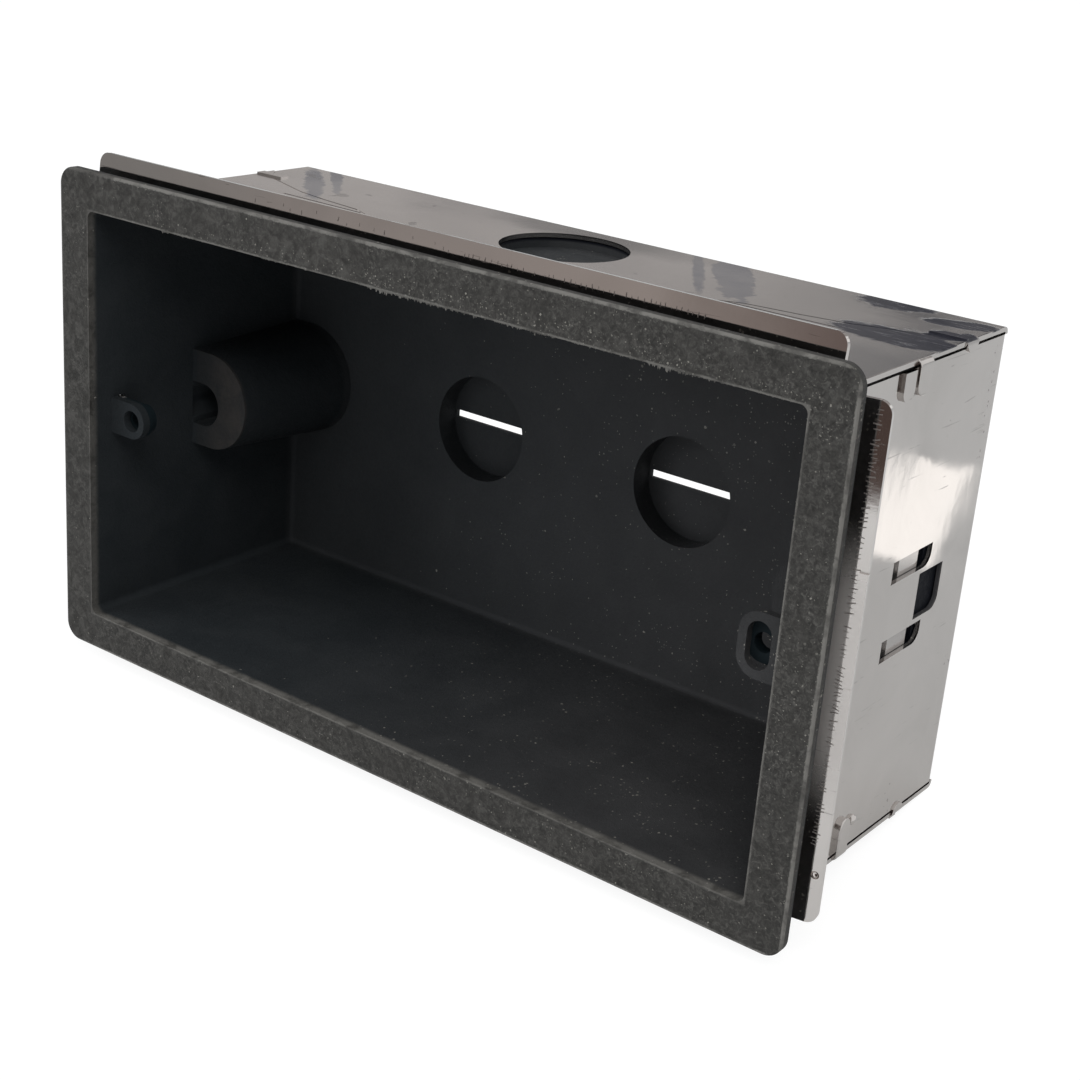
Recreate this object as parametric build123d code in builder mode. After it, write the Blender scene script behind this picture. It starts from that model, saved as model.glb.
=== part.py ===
from build123d import *
import os

# Twin back box: a box folded from thin sheet steel, with a moulded fire-stopping liner
# pushed into it and one sliding faceplate lug.
# Frame: X along the box, Y into the wall, Z up. The origin lies midway between the two
# faceplate screw holes, on the front faces of the lugs. All sizes are in millimetres.

# Faceplate fixings
fixing_pitch = 120.6
lug_width = 5.8
lug_bore = 2.9
collar_diameter = 4.8
collar_height = 1.2
lug_travel = 1.6

# Folded steel box, measured outside
sheet = 0.7
bend_inside = 0.3
end_margin = 6.9
box_length = fixing_pitch + 2 * end_margin
box_height = 72.8
box_depth = 48.8
lug_set_back = 2.3
flange_width = 6.8
long_flange_lean = 0.8
side_flange_lean = 1.1
flange_corner = 1.8
flange_gap = 0.2
flange_slit = 1.1
flange_slit_rise = 14.2
flange_dimple = 0.6
flange_dimple_drop = 28.9
seam_gap = 0.4
back_relief = 3.0
back_lap = 1.0

# Conduit holes
entry_diameter = 20.4
entry_from_rear = 14.1
rear_entry_pitch = 41.0

# Lanced tongues and window in the side wall that carries the sliding lug
lance_start = 20.8
lance_length = 11.8
lance_height = 3.3
lance_pitch = 11.8
tongue_length = 10.8
tongue_trim = 0.1
joggle_run = 2.4
window_start = 29.8
window_length = 7.2
window_height = 7.0
punch_corner = 2.0

# Corner fingers: start along Y, width, and length down the side wall
finger_overlap = 0.05
finger_root = 2.0
finger_edge = 0.2
top_finger_start = 18.8
top_finger_width = 3.7
top_finger_length = 5.1
bottom_finger_start = 15.4
bottom_finger_width = 3.0
bottom_finger_length = 6.4
pressed_tab_start = 14.8
pressed_tab_width = 3.2
pressed_tab_length = 4.1
pressed_tab_proud = 0.5
stop_bead_radius = 0.8
stop_bead_offset = 1.4

# Rear straps that lap the seams, each with a rounded nub
strap_start = 33.0
strap_width = 1.8
strap_length = 5.7
strap_proud = 0.3
nub_radius = 1.8

# Creases in the top and bottom walls: distance in from the box's end, and depth along Y
crease_width = 0.35
crease_depth = 0.15
crease_front = ((33.2, 24.0), (14.7, 24.6))
crease_rear = ((33.2, 24.0), (30.3, 25.4), (22.0, 26.6), (15.0, 28.1), (4.9, 32.2))

# Sliding lug
slide_gap = 0.1
tongue_gap = 0.15
stem_width = 5.2
foot_depth = 1.4
wing_start = 24.2
wing_length = 5.8
wing_span = 18.6
wing_corner = 1.0

# Liner
liner_clearance = 0.2
seat_gap = 0.05
liner_edge = 1.5
rim_past_ends = 4.7
rim_past_sides = 4.4
rim_thickness = 1.5
rim_stand_off = 2.1
rim_corner = 3.0
rim_edge = 0.3
mouth_wall = 0.95
opening_corner = 1.2
cavity_corner = 0.8
wall_draft = 1.5
back_wall = 5.1
recess_diameter = 18.2
membrane = 0.8
slit_height = 1.4
outer_recess_depth = 1.4
pad_hole = 3.6
pad_slot = 3.7
pad_margin = 1.3
pad_thickness = 1.4
boss_start = 16.1
boss_radius = 8.4
boss_draft = 1.6
channel_radius = 3.75
channel_offset = 1.8
channel_drop = 1.0
channel_depth = 20.0
channel_wall = 0.8
cover_width = 13.2
cover_proud = 1.1
pocket_clearance = 0.2

# Planes and lines that several pieces share
skin = sheet / 2
bend = bend_inside + skin
flange_y = -lug_set_back
long_flange_tip = flange_y + skin + long_flange_lean
side_flange_tip = flange_y + skin + side_flange_lean
rear_y = flange_y + box_depth
half_length = box_length / 2
half_height = box_height / 2
inner_x = half_length - sheet
side_top = half_height - sheet - seam_gap
entry_y = rear_y - entry_from_rear
fixing_x = fixing_pitch / 2
lug_reach = fixing_x - lug_width / 2
leg_x = inner_x - slide_gap - skin
tongue_x = leg_x - sheet - tongue_gap
wing_end = wing_start + wing_length
lap_x = half_length - finger_overlap + skin
strap_x = half_length - skin + strap_proud
strap_z = half_height - skin + strap_proud

rim_back = flange_y - rim_stand_off
rim_front = rim_back - rim_thickness
body_half_length = inner_x - liner_clearance
body_half_height = half_height - sheet - liner_clearance
liner_rear = rear_y - sheet - seat_gap
opening_length = 2 * (body_half_length - mouth_wall)
opening_height = 2 * (body_half_height - mouth_wall)
back_face = liner_rear - back_wall
pad_rear = -slide_gap
pad_front = pad_rear - pad_thickness


def across(y):
    """Plane facing the front at the depth y, with X to the right and Z up."""
    return Plane.XZ.offset(-y)


def side_flange_y(out):
    """Depth of a side flange's front face at the distance out from the wall's outer face."""
    return flange_y + side_flange_lean * (out + skin) / (flange_width + skin)


def tapped_collar(x):
    """Drawn collar on the rear of a lug, with its tapped hole."""
    with BuildSketch(across(skin)) as collar:
        with Locations((x, 0)):
            Circle(collar_diameter / 2)
    extrude(collar.sketch, amount=-(skin + collar_height))
    with BuildSketch(across(-sheet)) as hole:
        with Locations((x, 0)):
            Circle(lug_bore / 2)
    extrude(hole.sketch, amount=-(3 * sheet + collar_height), mode=Mode.SUBTRACT)


def folded_finger(start, width, top, down):
    """Fingers that fold over both ends of one long edge and lie on the side walls."""
    side = 1 if top else -1
    with BuildSketch(across(start)) as profile:
        with BuildLine():
            FilletPolyline(
                (half_length - finger_root, side * (half_height - skin)),
                (lap_x, side * (half_height - skin)),
                (lap_x, side * (half_height - down)),
                radius=bend,
            )
        trace(line_width=sheet)
        mirror(about=Plane.YZ)
    fingers = extrude(profile.sketch, amount=-width, mode=Mode.PRIVATE)
    tips = fingers.edges().filter_by(Axis.X).filter_by(
        lambda e: abs(abs(e.center().Z) - (half_height - down)) < skin / 2
    )
    fingers = fingers.fillet(width / 2 - finger_overlap, tips)
    outer_edges = fingers.edges().filter_by(
        lambda e: abs(e.center().X) > lap_x + skin - finger_overlap
        and abs(e.center().Z) < half_height - skin - bend - finger_overlap
    )
    add(fingers.fillet(finger_edge, outer_edges))


def rear_straps():
    """Narrow straps on the long walls, each ending in a round nub that laps the seam."""
    with BuildSketch(across(strap_start)) as profile:
        with BuildLine():
            FilletPolyline(
                (half_length - strap_length, strap_z),
                (strap_x, strap_z),
                (strap_x, half_height - nub_radius),
                radius=bend,
            )
        trace(line_width=sheet)
        mirror(about=Plane.YZ)
        mirror(about=Plane.XZ)
    folds = extrude(profile.sketch, amount=-2 * nub_radius, mode=Mode.PRIVATE)
    nub_y = strap_start + nub_radius
    ends = [(x, nub_y, z) for x in (-half_length, half_length) for z in (-half_height, half_height)]
    with Locations(*ends):
        rounds = Sphere(nub_radius, mode=Mode.PRIVATE)
    add(folds & rounds)
    with BuildSketch(across(strap_start)) as straps:
        with GridLocations(box_length - strap_length, 2 * strap_z, 2, 2):
            Rectangle(strap_length, sheet)
    extrude(straps.sketch, amount=-strap_width)


# Shell, folded from one sheet
with BuildPart() as shell:
    # Top and bottom walls with their flanges, and the back between them
    with BuildSketch(Plane.YZ):
        with BuildLine():
            FilletPolyline(
                (long_flange_tip, half_height + flange_width),
                (flange_y + skin, half_height - skin),
                (rear_y - skin, half_height - skin),
                (rear_y - skin, skin - half_height),
                (flange_y + skin, skin - half_height),
                (long_flange_tip, -half_height - flange_width),
                radius=bend,
            )
        trace(line_width=sheet)
    extrude(amount=half_length, both=True)

    # The back is narrower than the long walls, so that the side walls can fold up
    with BuildSketch(across(rear_y)):
        with GridLocations(box_length, 0, 2, 1):
            Rectangle(2 * back_relief, 2 * side_top)
    extrude(amount=sheet + bend, both=True, mode=Mode.SUBTRACT)

    # Side walls with their flanges, each folded from an end of the back
    with BuildSketch(Plane.XY):
        with BuildLine():
            FilletPolyline(
                (half_length + flange_width, side_flange_tip),
                (half_length - skin, flange_y + skin),
                (half_length - skin, rear_y - skin),
                (half_length - back_relief - back_lap, rear_y - skin),
                radius=bend,
            )
        trace(line_width=sheet)
        mirror(about=Plane.YZ)
    extrude(amount=side_top, both=True)
    with BuildSketch(Plane.XY):
        with BuildLine():
            Line(
                (half_length + bend_inside, side_flange_y(bend_inside) + skin),
                (half_length + flange_width, side_flange_tip),
            )
        trace(line_width=sheet)
        mirror(about=Plane.YZ)
    extrude(amount=half_height - flange_gap, both=True)

    # The flanges' free corners are rounded
    flange_corners = shell.edges().filter_by(
        lambda e: e.length < sheet + skin
        and (abs(e.center().X) > half_length + flange_width - skin
             or abs(e.center().Z) > half_height + flange_width - skin)
    )
    fillet(flange_corners, flange_corner)

    # Slit and dimple left in the right flange by the press
    with BuildSketch(across(flange_y)):
        with Locations((half_length + flange_width, flange_slit_rise)):
            Rectangle(2 * flange_slit, crease_width)
    extrude(amount=sheet + side_flange_lean, both=True, mode=Mode.SUBTRACT)
    dimple_out = flange_width - flange_slit
    with Locations((half_length + dimple_out, side_flange_y(dimple_out), -flange_dimple_drop)):
        Sphere(flange_dimple, rotation=(90, 0, 0), mode=Mode.SUBTRACT)

    # Conduit holes through the top and bottom walls and the back
    with BuildSketch(Plane.XY):
        with Locations((0, entry_y)):
            Circle(entry_diameter / 2)
    extrude(amount=box_height, both=True, mode=Mode.SUBTRACT)
    with BuildSketch(across(rear_y)):
        with GridLocations(rear_entry_pitch, 0, 2, 1):
            Circle(entry_diameter / 2)
    extrude(amount=2 * sheet, both=True, mode=Mode.SUBTRACT)

    # Slots of the lanced tongues, and the window between them
    with BuildSketch(Plane.YZ.offset(half_length)) as punches:
        with Locations((lance_start, lance_pitch / 2), (lance_start, -lance_pitch / 2)):
            Rectangle(lance_length, lance_height, align=(Align.MIN, Align.CENTER))
        with Locations((window_start, 0)):
            Rectangle(window_length, window_height, align=(Align.MIN, Align.CENTER))
        rear_corners = [
            face.vertices().sort_by(Axis.X)[-2:].sort_by(Axis.Y)[0] for face in punches.faces()
        ]
        fillet(rear_corners, punch_corner)
    extrude(amount=2 * sheet, both=True, mode=Mode.SUBTRACT)

    # Tongues, joggled inwards behind the wings of the sliding lug
    tongue_height = lance_height - 2 * tongue_trim
    for rise in (-lance_pitch / 2, lance_pitch / 2):
        with BuildSketch(Plane.XY.offset(rise - tongue_height / 2)):
            with BuildLine():
                Polyline(
                    (half_length - skin, lance_start - sheet),
                    (half_length - skin, lance_start),
                    (tongue_x, lance_start + joggle_run),
                    (tongue_x, lance_start + tongue_length),
                )
            trace(line_width=sheet)
        extrude(amount=tongue_height)

    # Window left in the other side wall by the fixed lug, and the lug folded in from its front
    with BuildSketch(Plane.YZ.offset(-half_length)):
        with Locations((skin - bend, 0)):
            Rectangle(
                inner_x - lug_reach + bend,
                lug_width + 2 * tongue_trim,
                align=(Align.MIN, Align.CENTER),
            )
    extrude(amount=2 * sheet, both=True, mode=Mode.SUBTRACT)
    with BuildSketch(Plane.XY.offset(-lug_width / 2)):
        with BuildLine():
            FilletPolyline(
                (skin - half_length, -bend),
                (skin - half_length, skin),
                (-lug_reach, skin),
                radius=bend,
            )
        trace(line_width=sheet)
    extrude(amount=lug_width)
    lug_tip = shell.edges().filter_by(Axis.Y).filter_by(
        lambda e: abs(e.center().X + lug_reach) < skin and abs(e.center().Z) > lug_width / 4
    )
    fillet(lug_tip, lug_width / 2 - finger_overlap)
    tapped_collar(-fixing_x)

    # Corner fingers folded over from the long walls, and straps behind them
    folded_finger(top_finger_start, top_finger_width, True, top_finger_length)
    folded_finger(bottom_finger_start, bottom_finger_width, False, bottom_finger_length)

    rear_straps()

    # Pressed tab beside each upper finger, and a stop bead beside each lower one
    for side in (-1, 1):
        with BuildSketch(Plane.YZ.offset(side * (half_length - skin))):
            with Locations((pressed_tab_start, side_top)):
                Rectangle(pressed_tab_width, pressed_tab_length, align=(Align.MIN, Align.MAX))
            fillet(vertices().group_by(Axis.Y)[0], pressed_tab_width / 2 - finger_overlap)
        extrude(amount=side * (skin + pressed_tab_proud))
    bead_y = bottom_finger_start + bottom_finger_width + stop_bead_offset
    bead_z = bottom_finger_length - stop_bead_offset - half_height
    with Locations((half_length, bead_y, bead_z), (-half_length, bead_y, bead_z)):
        Sphere(stop_bead_radius, rotation=(0, 90, 0))

    # Creases
    for side in (-1, 1):
        with BuildSketch(Plane.XY.offset(side * half_height)):
            with BuildLine():
                Polyline(*[(half_length - inward, y) for inward, y in crease_front])
                Polyline(*[(half_length - inward, y) for inward, y in crease_rear])
            trace(line_width=crease_width)
            mirror(about=Plane.YZ)
        extrude(amount=crease_depth, both=True, mode=Mode.SUBTRACT)

shell.part.label = "shell"


# Sliding lug, a T-shaped strip with its foot folded inwards
with BuildPart() as adjustable_lug:
    with BuildSketch(Plane.XY.offset(-wing_span / 2)):
        with BuildLine():
            FilletPolyline(
                (lug_reach, skin),
                (leg_x, skin),
                (leg_x, wing_end),
                radius=bend,
            )
        trace(line_width=sheet)
    extrude(amount=wing_span)
    with BuildSketch(Plane.YZ.offset(lug_reach - sheet)):
        Rectangle(2 * foot_depth, lug_width)
        Rectangle(wing_end, stem_width, align=(Align.MIN, Align.CENTER))
        with Locations((wing_start, 0)):
            Rectangle(wing_length, wing_span, align=(Align.MIN, Align.CENTER))
        outer = vertices().filter_by(lambda v: abs(v.Y) > wing_span / 2 - skin)
        fillet(outer, wing_corner)
    extrude(amount=half_length - lug_reach, mode=Mode.INTERSECT)
    foot_tip = adjustable_lug.edges().filter_by(Axis.Y).group_by(Axis.X)[0]
    fillet(foot_tip, lug_width / 2 - finger_overlap)
    tapped_collar(fixing_x)

adjustable_lug.part.label = "adjustable_lug"


# Liner, one moulding
with BuildPart() as liner:
    # Body inside the steel, and the rim in front of the flanges
    with BuildSketch(across(rim_back)):
        RectangleRounded(2 * body_half_length, 2 * body_half_height, liner_edge)
    extrude(amount=-(liner_rear - rim_back))
    fillet(liner.faces().sort_by(Axis.Y)[-1].edges(), liner_edge - liner_clearance)
    with BuildSketch(across(rim_front)):
        RectangleRounded(
            box_length + 2 * rim_past_ends, box_height + 2 * rim_past_sides, rim_corner
        )
    extrude(amount=-rim_thickness)
    fillet(liner.faces().sort_by(Axis.Y)[0].edges(), rim_edge)

    # Cavity, drafted towards the back
    with BuildSketch(across(rim_front)):
        RectangleRounded(opening_length, opening_height, opening_corner)
    with BuildSketch(across(back_face)):
        RectangleRounded(
            opening_length - 2 * wall_draft, opening_height - 2 * wall_draft, opening_corner
        )
    loft(mode=Mode.SUBTRACT)
    cavity_floor = liner.faces().filter_by(Axis.Y).filter_by(
        lambda face: abs(face.center().Y - back_face) < skin
    )
    fillet(cavity_floor[0].edges(), cavity_corner)

    # Pads in front of the lugs
    with BuildSketch(across(pad_front)):
        pad_radius = lug_width / 2 + slide_gap
        with Locations((-fixing_x, 0)):
            Circle(pad_radius)
            Rectangle(
                body_half_length - fixing_x, 2 * pad_radius, align=(Align.MAX, Align.CENTER)
            )
            Circle(pad_hole / 2, mode=Mode.SUBTRACT)
        slot_pad_radius = pad_slot / 2 + pad_margin
        with Locations((fixing_x, 0)):
            SlotCenterToCenter(2 * lug_travel, 2 * slot_pad_radius, rotation=90)
            Rectangle(
                body_half_length - fixing_x,
                2 * (slot_pad_radius + lug_travel),
                align=(Align.MIN, Align.CENTER),
            )
            SlotCenterToCenter(2 * lug_travel, pad_slot, rotation=90, mode=Mode.SUBTRACT)
    extrude(amount=-pad_thickness)

    # Screw bosses on both side walls
    boss_wall = body_half_length - liner_clearance
    boss_end = back_face + membrane
    for side, outwards in ((-1, Align.MAX), (1, Align.MIN)):
        for y, radius in ((boss_start, boss_radius), (boss_end, boss_radius + boss_draft)):
            with BuildSketch(across(y)):
                with Locations((side * fixing_x, 0)):
                    Circle(radius)
                    Rectangle(
                        2 * radius, 2 * radius, align=(outwards, Align.CENTER), mode=Mode.SUBTRACT
                    )
                    Rectangle(boss_wall - fixing_x, 2 * radius, align=(outwards, Align.CENTER))
        loft()

    # Cover over the sliding lug's stem, between its pad and its boss
    cover_x = opening_length / 2 - cover_proud
    with BuildSketch(across(pad_rear)):
        with Locations((cover_x, 0)):
            Rectangle(boss_wall - cover_x, cover_width, align=(Align.MIN, Align.CENTER))
    extrude(amount=-(boss_start - pad_rear + membrane))

    # Blind screw channels in the bosses, the left one open to the side wall
    channel_x = fixing_x + channel_offset
    tongue_floor = tongue_x - skin - pocket_clearance
    with BuildSketch(across(boss_start)):
        with Locations((-channel_x, -channel_drop)):
            Circle(channel_radius)
            Rectangle(
                opening_length / 2 - wall_draft / 2 - channel_x,
                2 * channel_radius,
                align=(Align.MAX, Align.CENTER),
            )
        with Locations((channel_x, -channel_drop)):
            Circle(channel_radius)
            Rectangle(
                tongue_floor - channel_wall - channel_x,
                2 * channel_radius,
                align=(Align.MIN, Align.CENTER),
            )
    extrude(amount=-channel_depth, mode=Mode.SUBTRACT)

    # Slots in the side walls where the lugs come through
    with BuildSketch(Plane.YZ):
        with Locations((pad_rear, 0)):
            Rectangle(
                foot_depth + slide_gap,
                lug_width + 2 * pocket_clearance,
                align=(Align.MIN, Align.CENTER),
            )
    extrude(amount=-box_length, mode=Mode.SUBTRACT)
    slot_half = lug_width / 2 + lug_travel + pocket_clearance
    with BuildSketch(Plane.YZ):
        with Locations((pad_rear, 0)):
            Rectangle(foot_depth + slide_gap, 2 * slot_half, align=(Align.MIN, Align.CENTER))
    extrude(amount=box_length, mode=Mode.SUBTRACT)

    # Outer pocket that clears the stem, the wings and the tongues
    stem_floor = leg_x - skin - pocket_clearance
    wing_half = wing_span / 2 + lug_travel + pocket_clearance
    with BuildSketch(Plane.YZ.offset(stem_floor)):
        with Locations((pad_rear, 0)):
            Rectangle(wing_start, 2 * slot_half, align=(Align.MIN, Align.CENTER))
        with Locations((wing_start - pocket_clearance, 0)):
            Rectangle(
                wing_length + 2 * pocket_clearance, 2 * wing_half, align=(Align.MIN, Align.CENTER)
            )
    extrude(amount=sheet + liner_edge, mode=Mode.SUBTRACT)
    with BuildSketch(Plane.YZ.offset(tongue_floor)):
        with Locations((lance_start - pocket_clearance, 0)):
            Rectangle(
                tongue_length + 2 * pocket_clearance,
                lance_pitch + lance_height + 2 * pocket_clearance,
                align=(Align.MIN, Align.CENTER),
            )
    extrude(amount=2 * sheet + liner_edge, mode=Mode.SUBTRACT)

    # Recesses in the back wall, each with a slit across its thin membrane
    with BuildSketch(across(back_face)):
        with GridLocations(rear_entry_pitch, 0, 2, 1):
            Circle(recess_diameter / 2)
    extrude(amount=-(back_wall - membrane), mode=Mode.SUBTRACT)
    with BuildSketch(across(back_face)):
        with GridLocations(rear_entry_pitch, 0, 2, 1):
            Rectangle(recess_diameter - membrane, slit_height)
    extrude(amount=-2 * back_wall, mode=Mode.SUBTRACT)

    # Outer recesses behind the top and bottom conduit holes
    for side in (-1, 1):
        with BuildSketch(Plane.XY.offset(side * body_half_height)):
            with Locations((0, entry_y)):
                Circle(entry_diameter / 2)
        extrude(amount=-side * outer_recess_depth, mode=Mode.SUBTRACT)

liner.part.label = "liner"

os.makedirs("parts", exist_ok=True)
export_step(shell.part, "parts/shell.step")
export_step(adjustable_lug.part, "parts/adjustable_lug.step")
export_step(liner.part, "parts/liner.step")
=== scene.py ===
import math
import random

import bmesh
import bpy
from mathutils import Matrix, Vector


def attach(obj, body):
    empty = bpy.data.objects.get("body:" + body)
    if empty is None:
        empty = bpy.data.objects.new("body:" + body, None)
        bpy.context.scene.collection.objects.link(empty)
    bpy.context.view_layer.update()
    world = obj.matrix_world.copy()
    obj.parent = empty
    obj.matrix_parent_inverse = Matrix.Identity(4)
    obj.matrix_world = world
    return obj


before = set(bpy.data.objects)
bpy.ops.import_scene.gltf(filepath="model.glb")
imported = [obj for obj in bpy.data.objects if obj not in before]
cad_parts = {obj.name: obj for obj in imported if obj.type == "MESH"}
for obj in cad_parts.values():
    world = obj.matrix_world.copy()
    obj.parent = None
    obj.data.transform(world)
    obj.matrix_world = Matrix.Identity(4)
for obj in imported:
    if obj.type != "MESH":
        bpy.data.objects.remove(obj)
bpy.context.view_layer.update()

MM = 0.001

# Edges that the box stands on in the photograph, in metres
FLANGE_FOOT = Vector((0.0, -0.00150, -0.04324))
REAR_FOOT = Vector((0.0, 0.04564, -0.03639))

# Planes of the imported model, in metres
RIM_FRONT = -0.0059
RIM_HALF_LENGTH = 0.0719
RIM_HALF_HEIGHT = 0.0408
MOUTH_HALF_LENGTH = 0.06535
MOUTH_HALF_HEIGHT = 0.03455
WALL_HALF_LENGTH = 0.0672
WALL_HALF_HEIGHT = 0.0364
FLANGE_ROOT = -0.0023
SIDE_LEAN = 1.1 / 7.15
LONG_LEAN = 0.8 / 7.15
SCREW_HALF_DISTANCE = 0.0603

# Camera solved from the photograph's straight edges, in metres, with its lens in mm
CAMERA_PLACE = (0.1665, -0.19881, 0.09775)
CAMERA_RIGHT = (0.7913, 0.6068, 0.0753)
CAMERA_UP = (-0.2750, 0.2433, 0.9301)
CAMERA_BACK = (0.5461, -0.7567, 0.3594)
CAMERA_LENS = 62.46
CAMERA_SENSOR = 36.0
CAMERA_SHIFT = 0.0009


# Node helpers

def new_material(name):
    """An empty material with its output, and the Principled shader that feeds it."""
    material = bpy.data.materials.new(name)
    material.use_nodes = True
    tree = material.node_tree
    tree.nodes.clear()
    output = tree.nodes.new("ShaderNodeOutputMaterial")
    shader = tree.nodes.new("ShaderNodeBsdfPrincipled")
    tree.links.new(shader.outputs["BSDF"], output.inputs["Surface"])
    return material, tree, shader


def object_place(tree, stretch=(1.0, 1.0, 1.0), move=(0.0, 0.0, 0.0)):
    """Object coordinates in metres, stretched and moved."""
    place = tree.nodes.new("ShaderNodeTexCoord")
    mapping = tree.nodes.new("ShaderNodeMapping")
    mapping.inputs["Scale"].default_value = stretch
    mapping.inputs["Location"].default_value = move
    tree.links.new(place.outputs["Object"], mapping.inputs["Vector"])
    return mapping.outputs["Vector"]


def axes(tree, place):
    """The three coordinates of a place."""
    parts = tree.nodes.new("ShaderNodeSeparateXYZ")
    tree.links.new(place, parts.inputs["Vector"])
    return tuple(parts.outputs[axis] for axis in "XYZ")


def channels(tree, colour):
    """Red, green and blue of a colour."""
    parts = tree.nodes.new("ShaderNodeSeparateColor")
    tree.links.new(colour, parts.inputs["Color"])
    return tuple(parts.outputs[name] for name in ("Red", "Green", "Blue"))


def noise(tree, place, scale, detail=4.0, rough=0.55, warp=0.0):
    texture = tree.nodes.new("ShaderNodeTexNoise")
    texture.inputs["Scale"].default_value = scale
    texture.inputs["Detail"].default_value = detail
    texture.inputs["Roughness"].default_value = rough
    texture.inputs["Distortion"].default_value = warp
    tree.links.new(place, texture.inputs["Vector"])
    return texture.outputs["Fac"]


def shaken(tree, place, scale, reach):
    """The same place, shaken by noise of the given scale, so that what is drawn on it is uneven."""
    texture = tree.nodes.new("ShaderNodeTexNoise")
    texture.inputs["Scale"].default_value = scale
    texture.inputs["Detail"].default_value = 2.0
    tree.links.new(place, texture.inputs["Vector"])
    centred = tree.nodes.new("ShaderNodeVectorMath")
    centred.operation = "SUBTRACT"
    centred.inputs[1].default_value = (0.5, 0.5, 0.5)
    tree.links.new(texture.outputs["Color"], centred.inputs[0])
    moved = tree.nodes.new("ShaderNodeVectorMath")
    moved.operation = "MULTIPLY_ADD"
    moved.inputs[1].default_value = (reach, reach, reach)
    tree.links.new(centred.outputs["Vector"], moved.inputs[0])
    tree.links.new(place, moved.inputs[2])
    return moved.outputs["Vector"]


def specks(tree, place, scale):
    """Distance to, and random colour of, the nearest of many scattered points."""
    texture = tree.nodes.new("ShaderNodeTexVoronoi")
    texture.inputs["Scale"].default_value = scale
    tree.links.new(place, texture.inputs["Vector"])
    return texture.outputs["Distance"], texture.outputs["Color"]


def ramp(tree, value, *stops):
    """Colour for each (position, colour) stop."""
    node = tree.nodes.new("ShaderNodeValToRGB")
    elements = node.color_ramp.elements
    while len(elements) < len(stops):
        elements.new(0.5)
    for element, (position, colour) in zip(elements, stops):
        element.position = position
        element.color = (*colour, 1.0)
    tree.links.new(value, node.inputs["Fac"])
    return node.outputs["Color"]


def step(tree, value, low, high, out_low=0.0, out_high=1.0):
    """Smooth step of value from low to high."""
    node = tree.nodes.new("ShaderNodeMapRange")
    node.interpolation_type = "SMOOTHSTEP"
    node.inputs["From Min"].default_value = low
    node.inputs["From Max"].default_value = high
    node.inputs["To Min"].default_value = out_low
    node.inputs["To Max"].default_value = out_high
    tree.links.new(value, node.inputs["Value"])
    return node.outputs["Result"]


def beyond(tree, value, low, high):
    """Mask that rises to 1 where a coordinate goes from low to high, in mm."""
    return step(tree, value, low * MM, high * MM)


def short_of(tree, value, low, high):
    """Mask that falls to 0 where a coordinate goes from low to high, in mm."""
    return step(tree, value, low * MM, high * MM, 1.0, 0.0)


def calculate(tree, operation, a, b=0.0):
    node = tree.nodes.new("ShaderNodeMath")
    node.operation = operation
    for socket, value in zip(node.inputs, (a, b)):
        if isinstance(value, (int, float)):
            socket.default_value = value
        else:
            tree.links.new(value, socket)
    return node.outputs["Value"]


def chain(tree, operation, values):
    """One operation carried on through all the values."""
    result = values[0]
    for value in values[1:]:
        result = calculate(tree, operation, result, value)
    return result


def times(tree, *values):
    return chain(tree, "MULTIPLY", values)


def plus(tree, *values):
    return chain(tree, "ADD", values)


def most(tree, *values):
    """The largest of several masks."""
    return chain(tree, "MAXIMUM", values)


def without(tree, mask):
    """What a mask leaves over."""
    return calculate(tree, "SUBTRACT", 1.0, mask)


def blend_colours(tree, factor, a, b):
    node = tree.nodes.new("ShaderNodeMix")
    node.data_type = "RGBA"
    for socket, value in ((node.inputs[0], factor), (node.inputs[6], a), (node.inputs[7], b)):
        if isinstance(value, tuple):
            socket.default_value = (*value, 1.0)
        else:
            tree.links.new(value, socket)
    return node.outputs[2]


def tint(tree, colour, mask, share, tone):
    """The colour, with a share of the tone laid over it where the mask is."""
    return blend_colours(tree, times(tree, mask, share), colour, tone)


def relief(tree, *layers):
    """Bumps laid one on the other: the height of each, its distance in metres and its strength."""
    normal = None
    for height, distance, strength in layers:
        node = tree.nodes.new("ShaderNodeBump")
        node.inputs["Distance"].default_value = distance
        node.inputs["Strength"].default_value = strength
        tree.links.new(height, node.inputs["Height"])
        if normal is not None:
            tree.links.new(normal, node.inputs["Normal"])
        normal = node.outputs["Normal"]
    return normal


def patch(tree, centre, half, turn=0.0, soft=0.3, ragged=0.3, grain=240.0, streak=1.0):
    """Mask of an ellipse with ragged edges: its centre and half sizes in mm, turned about Z."""
    place = tree.nodes.new("ShaderNodeTexCoord")
    fit = tree.nodes.new("ShaderNodeMapping")
    fit.vector_type = "TEXTURE"
    fit.inputs["Location"].default_value = [v * MM for v in centre]
    fit.inputs["Rotation"].default_value = (0.0, 0.0, math.radians(turn))
    fit.inputs["Scale"].default_value = [v * MM for v in half]
    tree.links.new(place.outputs["Object"], fit.inputs["Vector"])
    reach = tree.nodes.new("ShaderNodeVectorMath")
    reach.operation = "LENGTH"
    tree.links.new(fit.outputs["Vector"], reach.inputs[0])
    wobble = noise(tree, object_place(tree, (1.0 / streak, 1.0, 1.0)), grain, 4.0, 0.65)
    wobble = times(tree, calculate(tree, "SUBTRACT", wobble, 0.5), 4.0 * ragged)
    return step(tree, plus(tree, reach.outputs["Value"], wobble), 1.0 - soft, 1.0 + soft, 1.0, 0.0)


def patches(tree, *rows):
    """Mask of several ellipses, each row as patch takes it."""
    return most(tree, *(patch(tree, *row) for row in rows))


# Bright steel

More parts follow.
